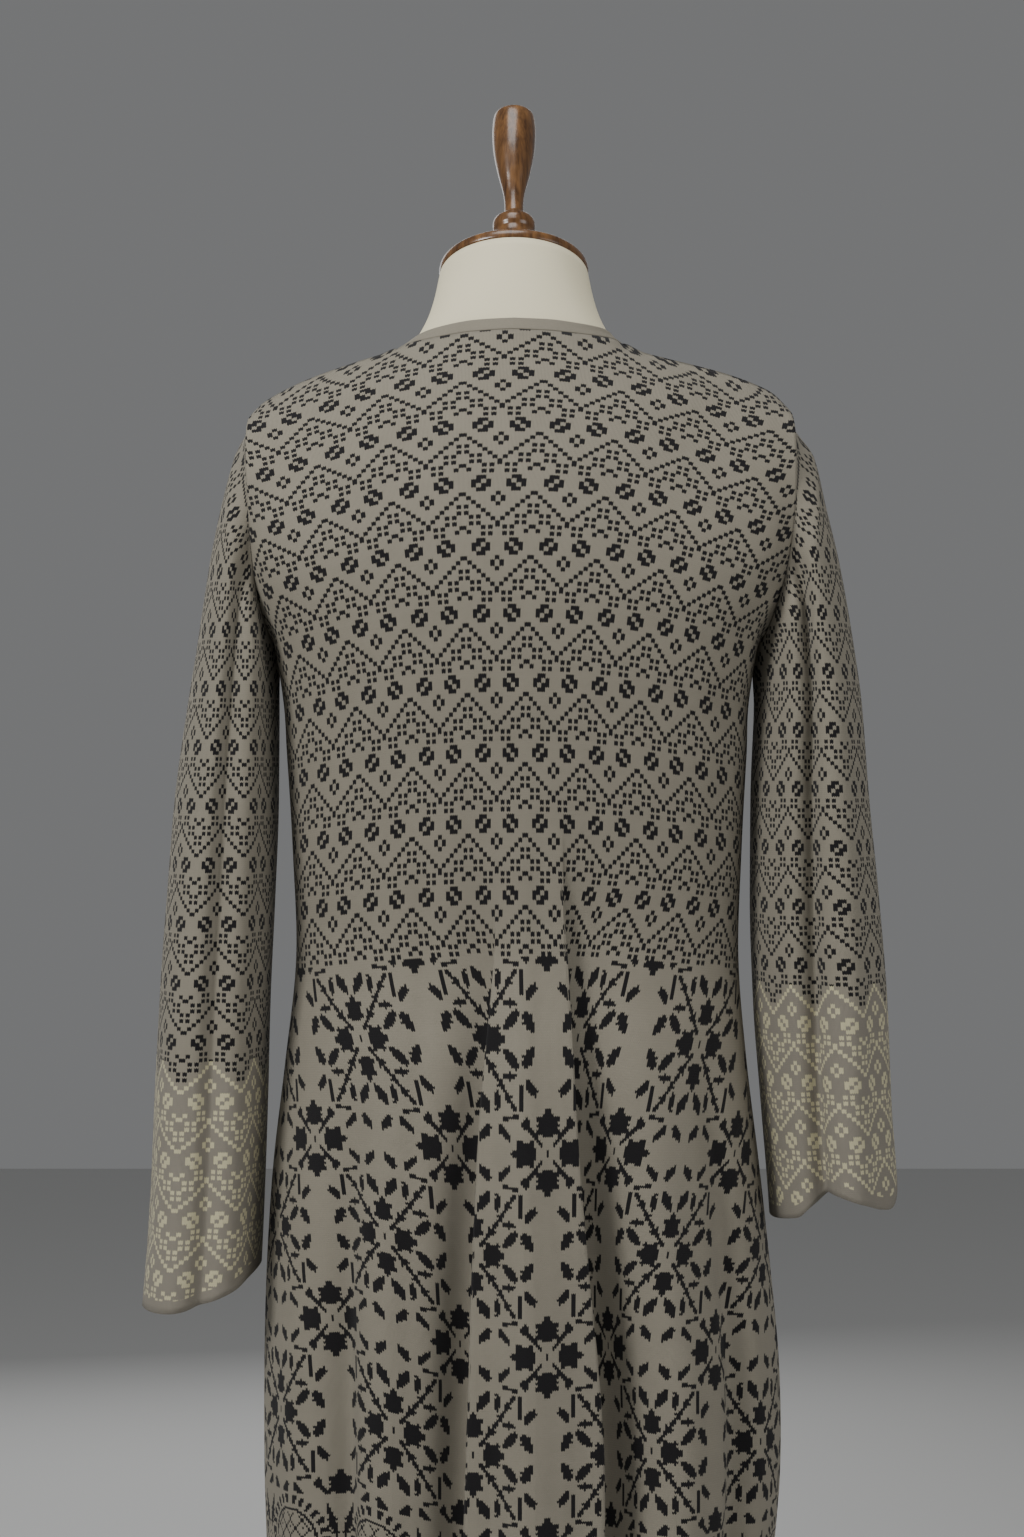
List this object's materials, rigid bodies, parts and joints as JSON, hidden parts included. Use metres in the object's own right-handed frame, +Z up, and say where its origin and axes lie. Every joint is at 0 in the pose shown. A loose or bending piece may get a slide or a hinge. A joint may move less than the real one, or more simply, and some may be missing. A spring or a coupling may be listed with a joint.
{
  "type": "sweater dress on dress form",
  "caption": "Long-sleeved knitted sweater dress with dark geometric and floral patterns on taupe, worn on a limbless dress form with a wooden neck cap and finial.",
  "frame": {"origin": "centre of the base's flat underside, on the floor", "axes": "+Z up along the pole, +Y toward the back of the garment, +X toward the wearer's left"},
  "size_m": [0.6015, 0.384, 1.6711],
  "materials": {
    "knit": "matte knitted fabric with a dark pattern",
    "rib": "matte knitted band",
    "jersey": "matte ivory jersey",
    "wood": "dark varnished wood",
    "stand": "black satin paint"
  },
  "bodies": {
    "root": {"back": "knit", "front": "knit", "sleeve_left": "knit", "sleeve_right": "knit", "neckband": "rib", "form": "jersey", "neck_cap": "wood", "finial": "wood", "pole": "stand", "base": "stand"}
  },
  "joints": []
}
